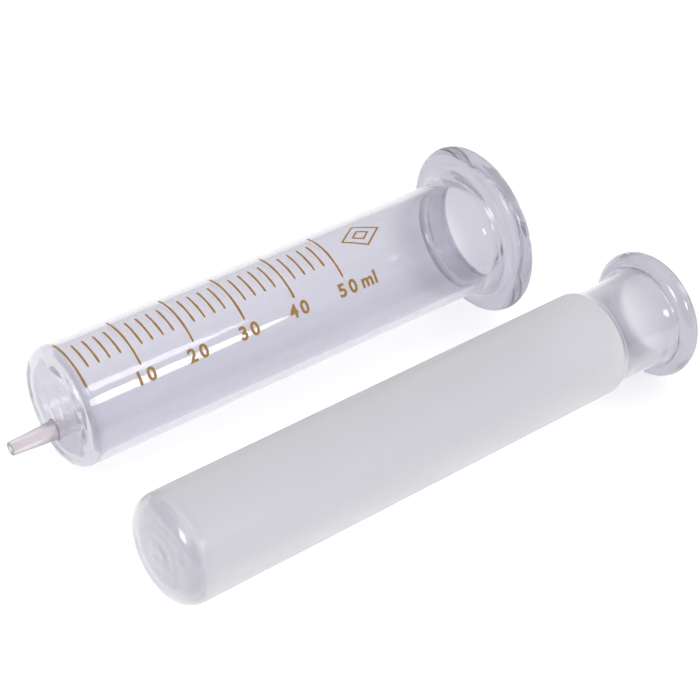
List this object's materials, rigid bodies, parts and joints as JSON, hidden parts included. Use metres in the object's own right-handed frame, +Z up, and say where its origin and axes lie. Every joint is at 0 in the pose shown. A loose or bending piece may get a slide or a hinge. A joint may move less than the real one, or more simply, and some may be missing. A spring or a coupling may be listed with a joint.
{
  "type": "oral syringe",
  "caption": "All-glass 50 ml syringe taken apart: a graduated clear barrel with an eccentric ground nozzle, beside its ground hollow plunger.",
  "frame": {"origin": "on the table, under the middle of the bounding box of the two pieces as they lie", "axes": "+X along the barrel from its nozzle towards its flange, +Z up, -Y the side on which the plunger lies and which the scale faces"},
  "size_m": [0.1718, 0.0934, 0.0479],
  "materials": {
    "clear_glass": "clear, fire polished, faint lavender tint",
    "ground_glass": "ground, matt on the body, clear at the front end, the neck and the bell",
    "ground_nozzle": "ground cone, translucent",
    "fired_enamel": "fired brown-gold enamel print"
  },
  "bodies": {
    "barrel": {"barrel": "clear_glass", "nozzle": "ground_nozzle", "scale_line_00": "fired_enamel", "scale_line_02": "fired_enamel", "scale_line_04": "fired_enamel", "scale_line_06": "fired_enamel", "scale_line_08": "fired_enamel", "scale_line_10": "fired_enamel", "scale_line_12": "fired_enamel", "scale_line_14": "fired_enamel", "scale_line_16": "fired_enamel", "scale_line_18": "fired_enamel", "scale_line_20": "fired_enamel", "scale_line_22": "fired_enamel", "scale_line_24": "fired_enamel", "scale_line_26": "fired_enamel", "scale_line_28": "fired_enamel", "scale_line_30": "fired_enamel", "scale_line_32": "fired_enamel", "scale_line_34": "fired_enamel", "scale_line_36": "fired_enamel", "scale_line_38": "fired_enamel", "scale_line_40": "fired_enamel", "scale_line_42": "fired_enamel", "scale_line_44": "fired_enamel", "scale_line_46": "fired_enamel", "scale_line_48": "fired_enamel", "scale_line_50": "fired_enamel"},
    "plunger": {"plunger": "ground_glass"}
  },
  "joints": [
    {"name": "plunger_stroke", "type": "slide", "parent": "barrel", "child": "plunger", "axis": [0.9988, 0.0427, 0.0224], "range_m": [0, 0.105]}
  ]
}
